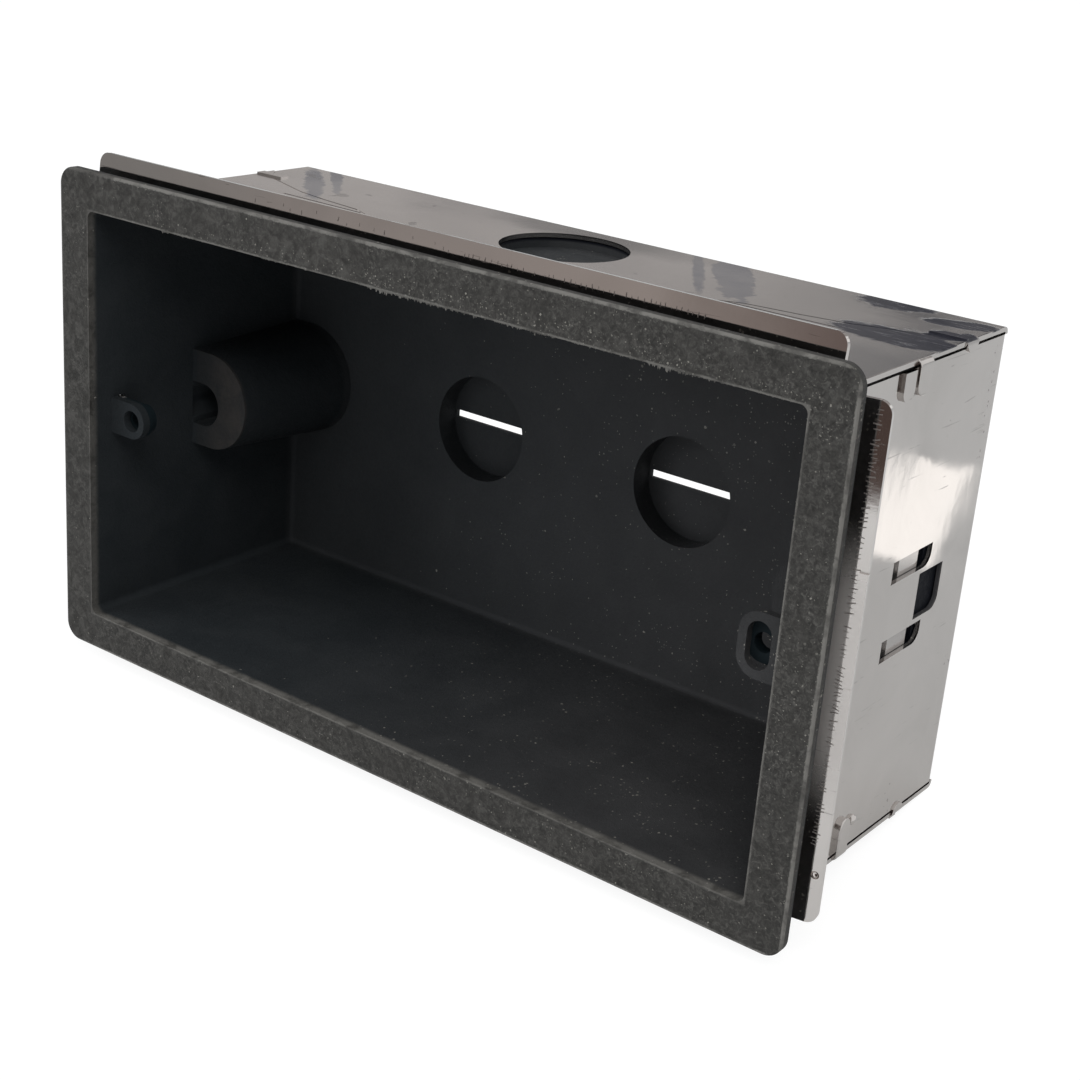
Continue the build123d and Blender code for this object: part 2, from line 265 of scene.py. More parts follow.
def painted_dip_reflections(tree, on_top):
    """Painted dark reflections where the corners were pulled in and the top wall dips: the mask and its
    tone.
    """
    top = WALL_HALF_HEIGHT / MM
    streaks = noise(tree, object_place(tree, (200.0, 2200.0, 900.0)), 1.0, 3.0, 0.65)
    dark = patches(
        tree,
        ((60.0, 27.2, top), (9.4, 4.6, 3.0), 4.0, 0.10, 0.24, 330.0, 3.0),
        ((64.6, 33.3, top), (4.0, 2.2, 3.0), 35.0, 0.10, 0.24, 330.0, 3.0),
        ((62.6, 41.0, top), (5.2, 2.4, 3.0), 20.0, 0.12, 0.26, 330.0, 3.0),
        ((51.0, 44.6, top), (5.8, 4.4, 3.0), 20.0, 0.14, 0.34, 330.0, 2.0),
        ((58.5, 47.4, top), (14.0, 1.7, 3.0), 0.0, 0.20, 0.20, 330.0, 3.0),
    )
    dark = times(tree, dark, step(tree, streaks, 0.58, 0.70, 1.0, 0.80), on_top)
    tone = ramp(tree, streaks, (0.30, (0.014, 0.015, 0.022)), (0.62, (0.030, 0.031, 0.043)))
    return dark, tone


def painted_dark_bands(tree, smear, on_top):
    """Painted dark reflections in soft bands across the top wall, and a darker area behind its conduit
    hole.
    """
    top = WALL_HALF_HEIGHT / MM
    dark_band_reflection = patches(
        tree,
        ((21.2, 37.6, top), (14.5, 0.9, 3.0), -56.7, 0.25, 0.30, 300.0),
        ((26.6, 39.0, top), (17.0, 3.0, 3.0), -56.0, 0.10, 0.32, 300.0),
        ((-56.0, 35.5, top), (14.0, 1.7, 3.0), -46.0, 0.20, 0.40, 300.0),
        ((-57.0, 42.2, top), (13.0, 1.1, 3.0), -46.6, 0.20, 0.40, 300.0),
    )
    dark_band_reflection = times(tree, dark_band_reflection, step(tree, smear, 0.25, 0.6, 0.75, 1.0), on_top)
    dull = times(tree, patch(tree, (-1.0, 44.5, top), (17.0, 6.0, 4.0), 0.0, 0.6, 0.2, 90.0), on_top)
    return dark_band_reflection, dull


def scratches_and_pits(tree, place):
    """Fine scratches, and pits along the rear of the right side wall and over a few small areas of it."""
    scratch_place = object_place(tree, (40.0, 40.0, 700.0), (0.3, 0.1, 0.2))
    scratch = step(tree, noise(tree, scratch_place, 2.2, 2.0, 0.5, 1.5), 0.69, 0.72)
    side = WALL_HALF_LENGTH / MM
    pitted = patches(
        tree,
        ((side, 43.5, 24.0), (3.0, 0.7, 14.0), 0.0, 0.4, 0.1),
        ((side, 31.6, 24.2), (3.0, 2.2, 1.6), 0.0, 0.4, 0.3),
        ((side, 30.8, -32.0), (3.0, 1.2, 3.2), 0.0, 0.4, 0.3),
        ((side, 44.6, -14.2), (3.0, 1.0, 2.4), 0.0, 0.4, 0.3),
    )
    distance, chance = specks(tree, place, 1500.0)
    red, green, _ = channels(tree, chance)
    within = calculate(tree, "LESS_THAN", distance, times(tree, green, 0.42))
    picked = calculate(tree, "LESS_THAN", red, times(tree, pitted, 0.80))
    return most(tree, times(tree, scratch, 0.42), times(tree, within, picked, 0.7))


def bright_sheet_steel():
    """Thin bright rolled sheet: nearly a mirror, a little wavy, with an uneven tone, painted dark
    reflections and painted shade, pits and scratches.
    """
    material, tree, shader = new_material("bright_sheet_steel")
    place = object_place(tree)
    along, depth, rise = axes(tree, place)
    span = calculate(tree, "ABSOLUTE", along)
    height = calculate(tree, "ABSOLUTE", rise)
    smear = noise(tree, place, 55.0, 5.0, 0.6, 0.6)
    colour = ramp(tree, smear, (0.25, (0.540, 0.512, 0.492)), (0.5, (0.60, 0.570, 0.550)),
                  (0.8, (0.65, 0.618, 0.597)))

    # Painted dark reflection on the long walls, growing towards the right corner, and painted shade that
    # makes the side walls a little darker all over
    behind = beyond(tree, depth, 0.0, 1.0)
    side_wall = times(tree, behind, beyond(tree, span, 66.8, 67.1))
    long_wall = times(tree, behind, short_of(tree, span, 66.8, 67.1))
    corner = times(tree, beyond(tree, along, 46.0, 60.0), short_of(tree, depth, 15.0, 30.0), 0.80)
    long_wall_dark_reflection = most(tree, step(tree, along, -0.01, 0.05, 0.06, 0.40), corner)
    long_wall_dark_reflection = times(tree, long_wall_dark_reflection, long_wall)
    colour = tint(tree, colour, side_wall, 0.17, (0.02, 0.017, 0.015))
    colour = tint(tree, colour, long_wall_dark_reflection, 1.0, (0.10, 0.096, 0.098))

    # Painted dark reflections in the dips of the top wall and in bands across it, and a darker area behind
    # its conduit hole
    on_top = beyond(tree, rise, 36.1, 36.3)
    dark, dip_reflection_tone = painted_dip_reflections(tree, on_top)
    dark_band_reflection, dull = painted_dark_bands(tree, smear, on_top)
    colour = tint(tree, colour, dark, 0.97, dip_reflection_tone)
    colour = tint(tree, colour, dark_band_reflection, 0.90, (0.070, 0.072, 0.095))
    colour = tint(tree, colour, dull, 0.75, (0.15, 0.145, 0.145))

    # Painted shade on the faces of the lugs, deep in their slots
    screw = SCREW_HALF_DISTANCE / MM
    lug_face_shade = patches(
        tree,
        ((screw, 0.6, 0.0), (4.5, 3.4, 7.0), 0.0, 0.15, 0.05),
        ((-screw, 0.6, 0.0), (4.5, 3.4, 7.0), 0.0, 0.15, 0.05),
    )
    colour = tint(tree, colour, lug_face_shade, 0.995, (0.007, 0.012, 0.015))

    # Cut edges of the window, in the shade of the box
    cut = times(tree, beyond(tree, span, 65.5, 66.0), short_of(tree, span, 67.05, 67.15),
                short_of(tree, height, 3.8, 4.0), beyond(tree, depth, 28.0, 28.5))
    colour = tint(tree, colour, cut, 0.9, (0.012, 0.013, 0.018))

    # The middle of the side flanges is rubbed dull
    on_flange = short_of(tree, depth, 0.0, 1.0)
    rubbed = times(tree, on_flange, beyond(tree, span, 68.0, 68.6), short_of(tree, height, 8.0, 22.0), 0.38)
    colour = tint(tree, colour, rubbed, 1.0, (0.50, 0.465, 0.445))

    wear_and_edge_highlight = scratches_and_pits(tree, place)
    colour = tint(tree, colour, wear_and_edge_highlight, 1.0, (0.20, 0.185, 0.175))
    tree.links.new(colour, shader.inputs["Base Color"])

    # Almost no mirror is left in the dark patches, even at a grazing view
    shade = most(tree, dark, lug_face_shade, cut, times(tree, dark_band_reflection, 0.62), times(tree, long_wall_dark_reflection, 0.62))
    metal = times(tree, step(tree, shade, 0.0, 1.0, 1.0, 0.06), without(tree, rubbed))
    tree.links.new(metal, shader.inputs["Metallic"])
    tree.links.new(step(tree, shade, 0.0, 1.0, 0.5, 0.04), shader.inputs["Specular IOR Level"])

    # Flanges and side walls are the most polished, scratches and the shaded lug faces the dullest
    polished = most(tree, times(tree, on_flange, 0.65), times(tree, side_wall, 0.50))
    rough = times(tree, step(tree, smear, 0.3, 0.75, 0.09, 0.22), without(tree, polished))
    rough = plus(tree, rough, times(tree, wear_and_edge_highlight, 0.3), times(tree, lug_face_shade, 0.4))
    tree.links.new(rough, shader.inputs["Roughness"])

    # Slow waves, small dents, the dips at the corner, lines from rolling and a fine grain
    wave = noise(tree, object_place(tree, (1.0, 1.6, 1.0)), 28.0, 1.0, 0.4)
    dents = noise(tree, object_place(tree, (1.0, 2.2, 1.0)), 95.0, 2.0, 0.5)
    rolled = noise(tree, object_place(tree, (60.0, 900.0, 900.0)), 1.0, 3.0, 0.7)
    fine = noise(tree, place, 900.0, 3.0)
    normal = relief(tree, (wave, 0.0006, 0.45), (dents, 0.00006, 0.4), (dark, 0.00010, 0.5),
                    (rolled, 0.000004, 0.5), (fine, 0.000006, 0.4))
    tree.links.new(normal, shader.inputs["Normal"])
    return material


def pressed_steel():
    """The same sheet where a tool has marked it: dull, so that it shows on bright and dark alike."""
    material, tree, shader = new_material("pressed_steel")
    grain = noise(tree, object_place(tree), 2500.0, 2.0)
    colour = ramp(tree, grain, (0.3, (0.34, 0.31, 0.295)), (0.7, (0.44, 0.405, 0.385)))
    tree.links.new(colour, shader.inputs["Base Color"])
    shader.inputs["Metallic"].default_value = 1.0
    tree.links.new(step(tree, grain, 0.3, 0.7, 0.42, 0.55), shader.inputs["Roughness"])
    tree.links.new(relief(tree, (grain, 0.00001, 0.5)), shader.inputs["Normal"])
    return material


# Black liner

def flecks(tree, place, scale, share, largest):
    """Scattered light grains: share of the cells that hold one, and the largest radius in cells."""
    distance, chance = specks(tree, place, scale)
    red, green, blue = channels(tree, chance)
    picked = calculate(tree, "LESS_THAN", red, share)
    within = calculate(tree, "LESS_THAN", distance, times(tree, green, largest))
    return times(tree, picked, within, step(tree, blue, 0.0, 1.0, 0.35, 1.0))


def inside_tone(tree, cloud, depth, right):
    """Tone of the inside: bluish and dark on the left, greyer on the right and on the back wall, as painted
    shade on the left and painted light on the right and on the back wall.
    """
    left_tone = ramp(tree, cloud, (0.3, (0.0165, 0.0195, 0.0220)), (0.7, (0.0235, 0.0265, 0.0290)))
    right_tone = ramp(tree, cloud, (0.3, (0.0285, 0.0288, 0.0300)), (0.7, (0.0400, 0.0400, 0.0415)))
    tone = blend_colours(tree, right, left_tone, right_tone)
    return tint(tree, tone, beyond(tree, depth, 38.5, 40.0), 0.25, (0.060, 0.060, 0.062))


def rim_tone(tree, place, mottle, blotch, right):
    """Tone of the rim: finely mottled on the right, more softly on the left."""
    coarse_mottle = noise(tree, shaken(tree, place, 500.0, 0.0012), 620.0, 3.0, 0.65, 0.8)
    lively = ramp(tree, mottle, (0.34, (0.0150, 0.0145, 0.0136)), (0.5, (0.0340, 0.0328, 0.0308)),
                  (0.66, (0.080, 0.077, 0.072)))
    soft = ramp(tree, coarse_mottle, (0.36, (0.0200, 0.0192, 0.0178)), (0.5, (0.0370, 0.0354, 0.0328)),
                (0.64, (0.064, 0.0615, 0.0575)))
    calm = times(tree, step(tree, blotch, 0.38, 0.62, 0.85, 0.30), step(tree, right, 0.0, 1.0, 1.0, 0.60))
    return blend_colours(tree, calm, lively, soft)


def light_grains(tree, place, cloud, blotch, on_rim, right, pocket_shade):
    """Light grains, thicker on the rim, towards the right and beside the torn top edge of the mouth."""
    torn_centre = (6.0, RIM_FRONT / MM, MOUTH_HALF_HEIGHT / MM + 0.8)
    torn = patch(tree, torn_centre, (50.0, 2.0, 1.7), 0.0, 0.5, 0.3, 500.0)
    share = plus(tree, times(tree, on_rim, 0.055), times(tree, right, 0.15))
    share = times(tree, share, step(tree, cloud, 0.35, 0.65, 0.25, 1.3))
    share = times(tree, share, step(tree, blotch, 0.45, 0.65, 0.45, 1.6))
    share = plus(tree, share, times(tree, torn, on_rim, 0.45))
    share = times(tree, share, without(tree, pocket_shade))
    coarse_share = times(tree, share, step(tree, on_rim, 0.0, 1.0, 0.15, 0.6))
    dust_place = shaken(tree, place, 2600.0, 0.00035)
    fine = flecks(tree, dust_place, 2300.0, share, 0.46)
    coarse = flecks(tree, dust_place, 1100.0, coarse_share, 0.32)
    return most(tree, times(tree, fine, 0.85), coarse)


def painted_edge_highlights(tree, along, depth, span, height, mottle, blotch, on_rim):
    """Painted highlights on the edges: the rim's outline and the lip of the mouth, less so at the far left.
    """
    to_outline = calculate(tree, "MINIMUM", calculate(tree, "SUBTRACT", RIM_HALF_LENGTH, span),
                           calculate(tree, "SUBTRACT", RIM_HALF_HEIGHT, height))
    to_lip = calculate(tree, "MAXIMUM", calculate(tree, "SUBTRACT", span, MOUTH_HALF_LENGTH),
                       calculate(tree, "SUBTRACT", height, MOUTH_HALF_HEIGHT))
    edge_jitter = times(tree, calculate(tree, "SUBTRACT", mottle, 0.5), 0.6 * MM)
    outline = short_of(tree, plus(tree, to_outline, edge_jitter), 0.32, 0.52)
    outline = times(tree, outline, short_of(tree, depth, -5.65, -5.4))
    lip = times(tree, short_of(tree, plus(tree, to_lip, edge_jitter), 0.10, 0.35), 0.75)
    wear_and_edge_highlight = times(tree, most(tree, outline, lip), on_rim, step(tree, blotch, 0.34, 0.56, 0.25, 1.0))
    return times(tree, wear_and_edge_highlight, step(tree, along, -66.5 * MM, -60.0 * MM, 0.35, 1.0))


def black_liner():
    """Matt moulded compound: charcoal, with light grains, painted highlights on its edges, painted light
    and shade inside, and a grained skin.
    """
    material, tree, shader = new_material("black_liner")
    place = object_place(tree)
    along, depth, rise = axes(tree, place)
    span = calculate(tree, "ABSOLUTE", along)
    height = calculate(tree, "ABSOLUTE", rise)
    on_rim = short_of(tree, depth, -5.2, -4.0)
    right = beyond(tree, along, -45.0, 45.0)

    cloud = noise(tree, place, 90.0, 5.0, 0.6, 0.4)
    mottle = noise(tree, shaken(tree, place, 1200.0, 0.0006), 1500.0, 3.0, 0.65, 1.0)
    blotch = noise(tree, place, 260.0, 4.0, 0.6, 0.5)
    colour = blend_colours(tree, on_rim, inside_tone(tree, cloud, depth, right),
                           rim_tone(tree, place, mottle, blotch, right))

    # Painted shade: the outer faces, seen only through the windows of the shell, are painted near black
    behind_lug = times(tree, beyond(tree, along, 64.0, 64.4), short_of(tree, height, 10.0, 12.0))
    pocket_shade = most(tree, beyond(tree, span, 65.7, 66.0), beyond(tree, height, 35.0, 35.4), behind_lug)
    pocket_shade = times(tree, pocket_shade, beyond(tree, depth, 0.0, 1.0))
    colour = tint(tree, colour, pocket_shade, 1.0, (0.0045, 0.0052, 0.0080))

    # The left screw boss: a little painted shade on its body, and a painted brownish highlight on its end
    # face, stronger towards the right
    boss = times(tree, beyond(tree, along, -64.0, -63.2), short_of(tree, along, -50.0, -49.0),
                 short_of(tree, height, 10.2, 10.8), beyond(tree, depth, 15.0, 15.5))
    boss_body = times(tree, boss, short_of(tree, depth, 38.5, 39.5))
    boss_end_highlight = times(tree, boss, short_of(tree, depth, 16.25, 16.8),
                     step(tree, along, -62.5 * MM, -56.0 * MM, 0.25, 1.0),
                     step(tree, blotch, 0.35, 0.60, 0.45, 1.0))
    colour = tint(tree, colour, boss_body, 0.12, (0.0030, 0.0045, 0.0058))
    colour = tint(tree, colour, boss_end_highlight, 0.85, (0.044, 0.040, 0.038))

    grains = light_grains(tree, place, cloud, blotch, on_rim, right, pocket_shade)
    wear_and_edge_highlight = painted_edge_highlights(tree, along, depth, span, height, mottle, blotch, on_rim)
    colour = tint(tree, colour, grains, 1.0, (0.200, 0.192, 0.173))
    # Painted highlights along the rim's outline and the lip of the mouth
    colour = tint(tree, colour, wear_and_edge_highlight, 1.0, (0.150, 0.144, 0.134))
    tree.links.new(colour, shader.inputs["Base Color"])

    tree.links.new(step(tree, mottle, 0.3, 0.7, 0.62, 0.80), shader.inputs["Roughness"])
    tree.links.new(step(tree, on_rim, 0.0, 1.0, 0.12, 0.28), shader.inputs["Specular IOR Level"])
    grain = noise(tree, place, 1900.0, 3.0, 0.6)
    normal = relief(tree, (cloud, 0.0012, 0.22), (mottle, 0.00012, 0.7), (grain, 0.00006, 0.6))
    tree.links.new(normal, shader.inputs["Normal"])
    return material


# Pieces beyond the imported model

def plain_object(name, mesh, material):
    piece = bpy.data.objects.new(name, mesh)
    bpy.context.scene.collection.objects.link(piece)
    mesh.materials.clear()
    mesh.materials.append(material)
    return piece


def ragged_flash(name, start, end, inwards, deepest, seed, material):
    """Thin torn edge that the mould left along an edge of the mouth, from start to end."""
    chance = random.Random(seed)
    tooth_step = 0.13 * MM
    root = 0.05 * MM
    least = 0.03 * MM
    thick = 0.12 * MM
    steps = max(8, int((end - start).length / tooth_step))
    mesh = bpy.data.meshes.new(name)
    shape = bmesh.new()
    rows = []
    height = 0.3
    for i in range(steps + 1):
        t = i / steps
        height = min(1.0, max(0.08, height + chance.uniform(-0.16, 0.16)))
        tooth = height * chance.choice((0.10, 0.18, 0.30, 0.45, 1.0))
        fade = min(1.0, 6 * t, 6 * (1 - t))
        reach = inwards * (deepest * tooth * fade + least)
        base = start.lerp(end, t)
        wander = chance.uniform(-0.05, 0.05) * MM
        rows.append([
            shape.verts.new(base - inwards * root),
            shape.verts.new(base + reach + Vector((0, wander, 0))),
            shape.verts.new(base + reach + Vector((0, wander + 0.5 * thick, 0))),
            shape.verts.new(base - inwards * root + Vector((0, thick, 0))),
        ])
    for near, far in zip(rows, rows[1:]):
        for k in range(4):
            shape.faces.new((near[k], near[(k + 1) % 4], far[(k + 1) % 4], far[k]))
    shape.faces.new(rows[0])
    shape.faces.new(list(reversed(rows[-1])))
    bmesh.ops.recalc_face_normals(shape, faces=shape.faces)
    shape.to_mesh(mesh)
    shape.free()
    return plain_object(name, mesh, material)


def press_mark_tree(material):
    """Ridges left by the press: one short slanted ridge on each point of a row."""
    tree = bpy.data.node_groups.new("press_mark_row", "GeometryNodeTree")
    face = tree.interface
    face.new_socket("Geometry", in_out="INPUT", socket_type="NodeSocketGeometry")
    for name, value in (("Length", 1.1 * MM), ("Width", 0.3 * MM), ("Height", 0.06 * MM),
                        ("Uneven", 0.4), ("Slant", 0.35)):
        socket = face.new_socket(name, in_out="INPUT", socket_type="NodeSocketFloat")
        socket.default_value = value
    seed = face.new_socket("Seed", in_out="INPUT", socket_type="NodeSocketInt")
    seed.default_value = 3
    lie = face.new_socket("Lie", in_out="INPUT", socket_type="NodeSocketVector")
    lie.default_value = (math.pi / 2, 0.0, 0.0)
    face.new_socket("Geometry", in_out="OUTPUT", socket_type="NodeSocketGeometry")
    nodes, links = tree.nodes, tree.links
    given = nodes.new("NodeGroupInput")
    result = nodes.new("NodeGroupOutput")

    # A four-sided pyramid with a base of 1 by 1 and a height of 1
    ridge = nodes.new("GeometryNodeMeshCone")
    ridge.inputs["Vertices"].default_value = 4
    ridge.inputs["Radius Top"].default_value = 0.0
    ridge.inputs["Radius Bottom"].default_value = 0.7071
    ridge.inputs["Depth"].default_value = 1.0
    shape = nodes.new("GeometryNodeTransform")
    shape.inputs["Rotation"].default_value = (0.0, 0.0, math.pi / 4)
    links.new(ridge.outputs["Mesh"], shape.inputs["Geometry"])

    size = nodes.new("ShaderNodeCombineXYZ")
    for name, axis in (("Length", "X"), ("Width", "Y"), ("Height", "Z")):
        links.new(given.outputs[name], size.inputs[axis])

    def chance(low, high, offset):
        node = nodes.new("FunctionNodeRandomValue")
        node.data_type = "FLOAT"
        node.inputs[2].default_value = low
        node.inputs[3].default_value = high
        links.new(calculate(tree, "ADD", given.outputs["Seed"], offset), node.inputs["Seed"])
        return node.outputs[1]

    uneven = plus(tree, 1.0, times(tree, chance(-1.0, 0.6, 11), given.outputs["Uneven"]))
    scaled = nodes.new("ShaderNodeVectorMath")
    scaled.operation = "SCALE"
    links.new(size.outputs["Vector"], scaled.inputs[0])
    links.new(uneven, scaled.inputs["Scale"])
    turn = nodes.new("ShaderNodeCombineXYZ")
    links.new(times(tree, chance(-1.0, 1.0, 23), given.outputs["Slant"]), turn.inputs["Z"])

    # Each ridge is laid on the flange's front face, as Lie says
    lay = nodes.new("FunctionNodeRotateEuler")
    links.new(given.outputs["Lie"], lay.inputs["Rotate By"])
    links.new(turn.outputs["Vector"], lay.inputs["Rotation"])

    marks = nodes.new("GeometryNodeInstanceOnPoints")
    links.new(given.outputs["Geometry"], marks.inputs["Points"])
    links.new(shape.outputs["Geometry"], marks.inputs["Instance"])
    links.new(lay.outputs["Rotation"], marks.inputs["Rotation"])
    links.new(scaled.outputs["Vector"], marks.inputs["Scale"])
    real = nodes.new("GeometryNodeRealizeInstances")
    links.new(marks.outputs["Instances"], real.inputs["Geometry"])
    finish = nodes.new("GeometryNodeSetMaterial")
    finish.inputs["Material"].default_value = material
    links.new(real.outputs["Geometry"], finish.inputs["Geometry"])
    links.new(finish.outputs["Geometry"], result.inputs["Geometry"])
    return tree


def press_marks(name, points, tree, settings, material):
    """Marks of the given tree on a row of points, as one plain mesh."""
    row = bpy.data.meshes.new(name + "_row")
    row.from_pydata([tuple(p) for p in points], [], [])
    holder = bpy.data.objects.new(name + "_row", row)
    bpy.context.scene.collection.objects.link(holder)
    modifier = holder.modifiers.new("marks", "NODES")
    modifier.node_group = tree
    for item in tree.interface.items_tree:
        if item.in_out == "INPUT" and item.name in settings:
            modifier[item.identifier] = settings[item.name]
    ready = holder.evaluated_get(bpy.context.evaluated_depsgraph_get())
    mesh = bpy.data.meshes.new_from_object(ready)
    mesh.name = name
    bpy.data.objects.remove(holder)
    return plain_object(name, mesh, material)


def on_leaning_flange(out, lean):
    """Depth of a flange's front face at some mm out from the wall, for the flange's lean."""
    sheet_allowance = 0.35
    return FLANGE_ROOT + lean * (out + sheet_allowance) * MM


def side_row_points(chance):
    """Places down the right flange, close together, drifting towards the wall, with some left out."""
    first, length = 35.0, 59.0
    first_out, drift = 5.35, 0.3
    points = []
    rise = first + 0.5
    while rise > first - length:
        rise -= chance.uniform(0.42, 0.80)
        out = first_out - drift * (first - rise) / length + chance.uniform(-0.10, 0.10)
        if chance.random() > 0.12:
            depth = on_leaning_flange(out, SIDE_LEAN)
            points.append(Vector((WALL_HALF_LENGTH + out * MM, depth, rise * MM)))
    return points


def top_row_points(chance):
    """Places along the top flange: few and scattered on the left, an even row on the right."""
    first, last, even_from, even_out = -34.0, 47.0, 4.0, 4.75
    points = []
    along = first
    while along < last:
        scattered = along < even_from
        along += chance.uniform(1.3, 3.2) if scattered else chance.uniform(0.65, 1.15)
        out = chance.uniform(4.9, 5.6) if scattered else even_out + chance.uniform(-0.20, 0.12)
        if chance.random() > 0.15:
            depth = on_leaning_flange(out, LONG_LEAN)
            points.append(Vector((along * MM, depth, WALL_HALF_HEIGHT + out * MM)))
    return points


# Studio

def studio_floor():
    """Pale floor under the flange's lower edge and the rear edge of the box."""
    along = (REAR_FOOT - FLANGE_FOOT).normalized()
    side = Vector((1, 0, 0))
    reach = 4.0
    corners = [FLANGE_FOOT + side * a * reach + along * b * reach
               for a, b in ((-1, -1), (1, -1), (1, 1), (-1, 1))]
    mesh = bpy.data.meshes.new("studio_floor")
    mesh.from_pydata([tuple(c) for c in corners], [], [(0, 1, 2, 3)])
    material, tree, shader = new_material("pale_floor")
    shader.inputs["Base Color"].default_value = (0.80, 0.80, 0.80, 1.0)
    shader.inputs["Roughness"].default_value = 0.9
    shader.inputs["Specular IOR Level"].default_value = 0.1
    glow = tree.nodes.new("ShaderNodeEmission")
    glow.inputs["Strength"].default_value = 1.12
    path = tree.nodes.new("ShaderNodeLightPath")
    mix = tree.nodes.new("ShaderNodeMixShader")
    tree.links.new(times(tree, path.outputs["Is Camera Ray"], 0.80), mix.inputs["Fac"])
    tree.links.new(shader.outputs["BSDF"], mix.inputs[1])
    tree.links.new(glow.outputs["Emission"], mix.inputs[2])
    output = next(n for n in tree.nodes if n.type == "OUTPUT_MATERIAL")
    tree.links.new(mix.outputs["Shader"], output.inputs["Surface"])
    floor = plain_object("studio_floor", mesh, material)


def card_mesh(name, centre, towards, width, height, twist):
    """A flat card that faces a point, twisted in its own plane by some degrees, with its own UV map."""
    forward = (towards - centre).normalized()
    side = forward.cross(Vector((0, 0, 1))).normalized()
    rise = side.cross(forward).normalized()
    turn = Matrix.Rotation(math.radians(twist), 3, forward)
    side, rise = turn @ side, turn @ rise
    corners = ((-1, -1), (1, -1), (1, 1), (-1, 1))
    mesh = bpy.data.meshes.new(name)
    mesh.from_pydata([tuple(centre + side * a * width / 2 + rise * b * height / 2) for a, b in corners],
                     [], [(0, 1, 2, 3)])
    layer = mesh.uv_layers.new(name="card")
    for loop, (a, b) in zip(mesh.loops, corners):
        layer.data[loop.index].uv = ((a + 1) / 2, (b + 1) / 2)
    return mesh


def reflection_card(name, mesh, tones, soft, uneven=0.0, blotches=None):
    """A studio card that only polished surfaces see: (place across it, colour) tones, soft edges,
    an outline that can be uneven, and blotches given as their scale, low, high and tone."""
    material = bpy.data.materials.new(name)
    material.use_nodes = True
    tree = material.node_tree
    tree.nodes.clear()
    output = tree.nodes.new("ShaderNodeOutputMaterial")
    glow = tree.nodes.new("ShaderNodeEmission")
    clear = tree.nodes.new("ShaderNodeBsdfTransparent")
    mix = tree.nodes.new("ShaderNodeMixShader")
    uv = tree.nodes.new("ShaderNodeUVMap")
    uv.uv_map = "card"
    across, up, _ = axes(tree, shaken(tree, uv.outputs["UV"], 4.0, uneven))
    edges = [step(tree, value, 0.0, soft) for value in (across, up)]
    edges += [step(tree, value, 1.0 - soft, 1.0, 1.0, 0.0) for value in (across, up)]
    colour = ramp(tree, across, *tones)
    if blotches is not None:
        scale, low, high, tone = blotches
        blotch = step(tree, noise(tree, uv.outputs["UV"], scale, 3.0, 0.5, 0.8), low, high)
        colour = blend_colours(tree, blotch, colour, tone)
    tree.links.new(colour, glow.inputs["Color"])
    tree.links.new(times(tree, *edges), mix.inputs["Fac"])
    tree.links.new(clear.outputs["BSDF"], mix.inputs[1])
    tree.links.new(glow.outputs["Emission"], mix.inputs[2])
    tree.links.new(mix.outputs["Shader"], output.inputs["Surface"])
    card = plain_object(name, mesh, material)
    card.visible_camera = False
    card.visible_diffuse = False
    card.visible_transmission = False
    card.visible_shadow = False


def studio_world():
    """White to the camera and in reflections, and a dimmer, cooler white as light on the object."""
    world = bpy.data.worlds.new("studio")
    bpy.context.scene.world = world
    world.use_nodes = True
    tree = world.node_tree
    tree.nodes.clear()
    output = tree.nodes.new("ShaderNodeOutputWorld")
    seen = tree.nodes.new("ShaderNodeBackground")
    seen.inputs["Color"].default_value = (1.0, 1.0, 1.0, 1.0)
    seen.inputs["Strength"].default_value = 1.0
    lit = tree.nodes.new("ShaderNodeBackground")
    lit.inputs["Color"].default_value = (0.93, 0.97, 1.0, 1.0)
    lit.inputs["Strength"].default_value = 0.55
    path = tree.nodes.new("ShaderNodeLightPath")
    rays = ("Is Camera Ray", "Is Glossy Ray", "Is Transmission Ray")
    mix = tree.nodes.new("ShaderNodeMixShader")
    tree.links.new(most(tree, *(path.outputs[ray] for ray in rays)), mix.inputs["Fac"])
    tree.links.new(lit.outputs["Background"], mix.inputs[1])
    tree.links.new(seen.outputs["Background"], mix.inputs[2])
    tree.links.new(mix.outputs["Shader"], output.inputs["Surface"])


def soft_lamp(name, place, aim, size, power, colour):
    lamp = bpy.data.lights.new(name, "AREA")
    lamp.shape = "DISK"
    lamp.size = size
    lamp.energy = power
    lamp.color = colour
    holder = bpy.data.objects.new(name, lamp)
    holder.location = place
    holder.rotation_euler = (Vector(aim) - Vector(place)).to_track_quat("-Z", "Y").to_euler()
    bpy.context.scene.collection.objects.link(holder)
    holder.visible_glossy = False


def photo_camera():
    """Camera at the photograph's place and angle."""
    turn = Matrix((CAMERA_RIGHT, CAMERA_UP, CAMERA_BACK)).transposed().to_4x4()
    data = bpy.data.cameras.new("photo_camera")
    data.sensor_width = CAMERA_SENSOR
    data.lens = CAMERA_LENS
    data.shift_x = CAMERA_SHIFT
    data.clip_start = 0.01
    data.clip_end = 20.0
    camera = bpy.data.objects.new("photo_camera", data)
    camera.matrix_world = Matrix.Translation(CAMERA_PLACE) @ turn
    bpy.context.scene.collection.objects.link(camera)
    bpy.context.scene.camera = camera


